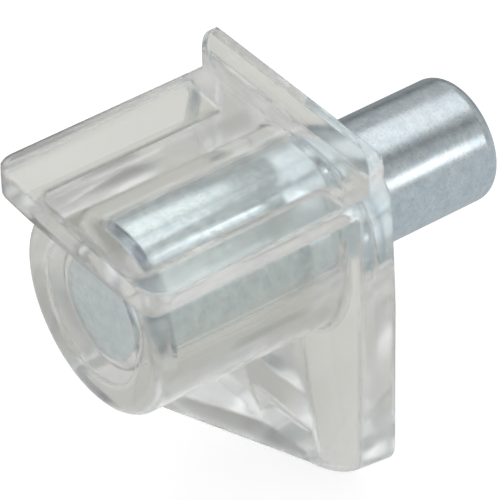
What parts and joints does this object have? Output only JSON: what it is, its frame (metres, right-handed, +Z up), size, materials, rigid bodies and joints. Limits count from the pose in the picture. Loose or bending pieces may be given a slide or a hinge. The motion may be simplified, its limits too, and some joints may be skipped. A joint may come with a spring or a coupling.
{
  "type": "shelf support pin",
  "caption": "Clear moulded shelf support with a ribbed wall plate, a flat seat with a back lip, and a plated steel pin that pushes into a drilled hole.",
  "frame": {"origin": "on the pin's axis, in the plane that lies against the wall", "axes": "+Y runs along the pin into the wall, +Z is up and points out of the seat, +X runs across the bracket"},
  "size_m": [0.01, 0.0178, 0.0172],
  "materials": {
    "clear_plastic": "clear moulded plastic, glossy, with a faint warm grey tint",
    "zinc_plated_steel": "bright zinc plating with a slightly mottled blue-grey cast"
  },
  "bodies": {
    "root": {"clear_body": "clear_plastic", "steel_pin": "zinc_plated_steel"}
  },
  "joints": []
}
